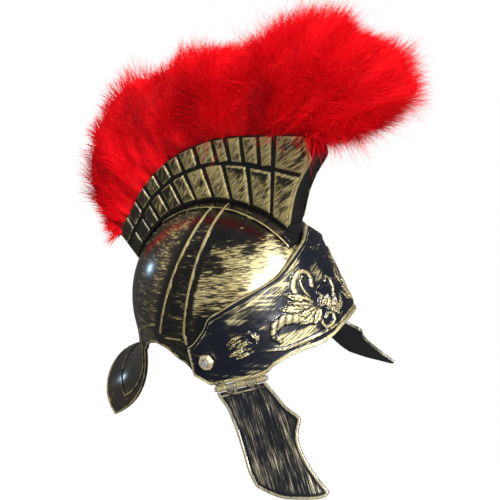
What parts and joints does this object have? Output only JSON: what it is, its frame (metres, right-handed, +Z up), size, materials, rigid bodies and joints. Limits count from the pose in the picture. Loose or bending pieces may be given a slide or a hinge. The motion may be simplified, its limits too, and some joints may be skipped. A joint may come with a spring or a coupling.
{
  "type": "roman legionary helmet",
  "caption": "Moulded costume legionary helmet: ribbed bowl with neck guard, brick-faced crest holder, feather crest, pivoting brow visor and hinged cheek guards.",
  "frame": {"origin": "the point where the crown of a head bears on the inside of the bowl, on the middle plane", "axes": "+Z up as worn, -Y the way the wearer faces, -X the wearer's right"},
  "size_m": [0.282, 0.3952, 0.407],
  "materials": {
    "bowl_plastic": "black moulded plastic, dry-brushed with pale gold",
    "crest_plastic": "black moulded plastic with gold-brushed bricks",
    "feather": "dyed scarlet feather, matt and fluffy",
    "visor_plastic": "blue-black moulded plastic, gold on its relief and edges",
    "guard_plastic": "blue-black moulded plastic with faint gold streaks and gold rims",
    "brass": "bright",
    "steel": "bright zinc"
  },
  "bodies": {
    "shell": {"bowl": "bowl_plastic", "crest_holder": "crest_plastic", "plume": "feather", "pivot_bolt_right": "steel", "pivot_bolt_left": "steel", "pivot_nut_right": "brass", "pivot_nut_left": "brass"},
    "visor": {"brow_visor": "visor_plastic", "cheek_hinge_pin_right": "steel", "cheek_hinge_pin_left": "steel"},
    "guard_right": {"cheek_guard_right": "guard_plastic"},
    "guard_left": {"cheek_guard_left": "guard_plastic"}
  },
  "joints": [
    {"name": "visor_pivot", "type": "hinge", "parent": "shell", "child": "visor", "pos_m": [0, -0.0207, -0.1352], "axis": [1, 0, 0], "range_deg": [0, 35]},
    {"name": "cheek_hinge_right", "type": "hinge", "parent": "visor", "child": "guard_right", "pos_m": [-0.1031, -0.02311, -0.1634], "axis": [-0.338, 0.9386, -0.0697], "range_deg": [-40, 45]},
    {"name": "cheek_hinge_left", "type": "hinge", "parent": "visor", "child": "guard_left", "pos_m": [0.1031, -0.02311, -0.1634], "axis": [-0.338, -0.9386, 0.0697], "range_deg": [-40, 45]}
  ]
}
